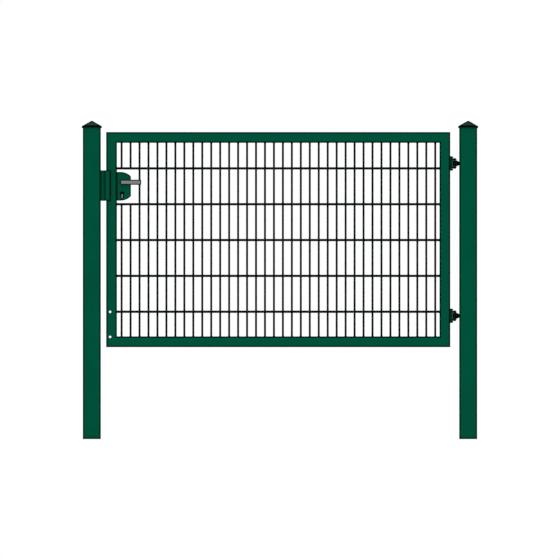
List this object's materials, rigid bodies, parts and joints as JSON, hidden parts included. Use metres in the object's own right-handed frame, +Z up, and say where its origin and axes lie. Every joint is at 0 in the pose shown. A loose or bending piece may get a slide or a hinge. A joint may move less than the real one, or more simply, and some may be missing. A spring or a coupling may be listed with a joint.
{
  "type": "tubular frame gate",
  "caption": "Single-leaf garden gate of green coated steel tube with a double-rod mesh, hung between square posts with pyramid caps, with lever handle, lock and keeper.",
  "frame": {"origin": "centre of the hinge post's foot", "axes": "+X along the gate from the latch post to the hinge post, +Y the way the leaf swings open, +Z up"},
  "size_m": [2.21, 0.14, 1.776],
  "materials": {
    "green_coat": "moss green powder coat, satin",
    "rod_coat": "very dark green coat over galvanised rods, satin",
    "hinge_coat": "dark green-black coat, satin",
    "cap_plastic": "dark green moulded plastic, matt",
    "bright_steel": "zinc plated, satin",
    "cylinder_metal": "nickel plated, satin",
    "escutcheon_plastic": "black moulded plastic, matt",
    "lever_metal": "satin anodised",
    "buffer_rubber": "black moulded rubber"
  },
  "bodies": {
    "posts": {"latch_post": "green_coat", "hinge_post": "green_coat", "latch_post_cap": "cap_plastic", "hinge_post_cap": "cap_plastic", "keeper_block": "green_coat", "strike_plate": "green_coat", "stop_buffer": "buffer_rubber", "upper_eye_bolt": "hinge_coat", "lower_eye_bolt": "hinge_coat"},
    "leaf": {"lock_stile": "green_coat", "hinge_stile": "green_coat", "top_rail": "green_coat", "bottom_rail": "green_coat", "rod_mat": "rod_coat", "upper_hinge_bracket": "hinge_coat", "lower_hinge_bracket": "hinge_coat", "upper_hinge_pin": "hinge_coat", "lower_hinge_pin": "hinge_coat", "lock_case": "green_coat", "lock_body": "bright_steel", "lock_cylinder": "cylinder_metal", "front_escutcheon": "escutcheon_plastic", "back_escutcheon": "escutcheon_plastic", "latch_bolt": "bright_steel", "dead_bolt": "bright_steel"},
    "lever": {"front_lever": "lever_metal", "back_lever": "lever_metal", "lever_spindle": "bright_steel"}
  },
  "joints": [
    {"name": "gate_swing", "type": "hinge", "parent": "posts", "child": "leaf", "pos_m": [-0.076, 0, 1.113], "axis": [0, 0, -1], "range_deg": [0, 90]},
    {"name": "lever_turn", "type": "hinge", "parent": "leaf", "child": "lever", "pos_m": [-1.931, 0, 1.433], "axis": [0, 1, 0], "range_deg": [0, 45], "stiffness_Nm_per_rad": 1.3, "springref_deg": -45.84}
  ]
}
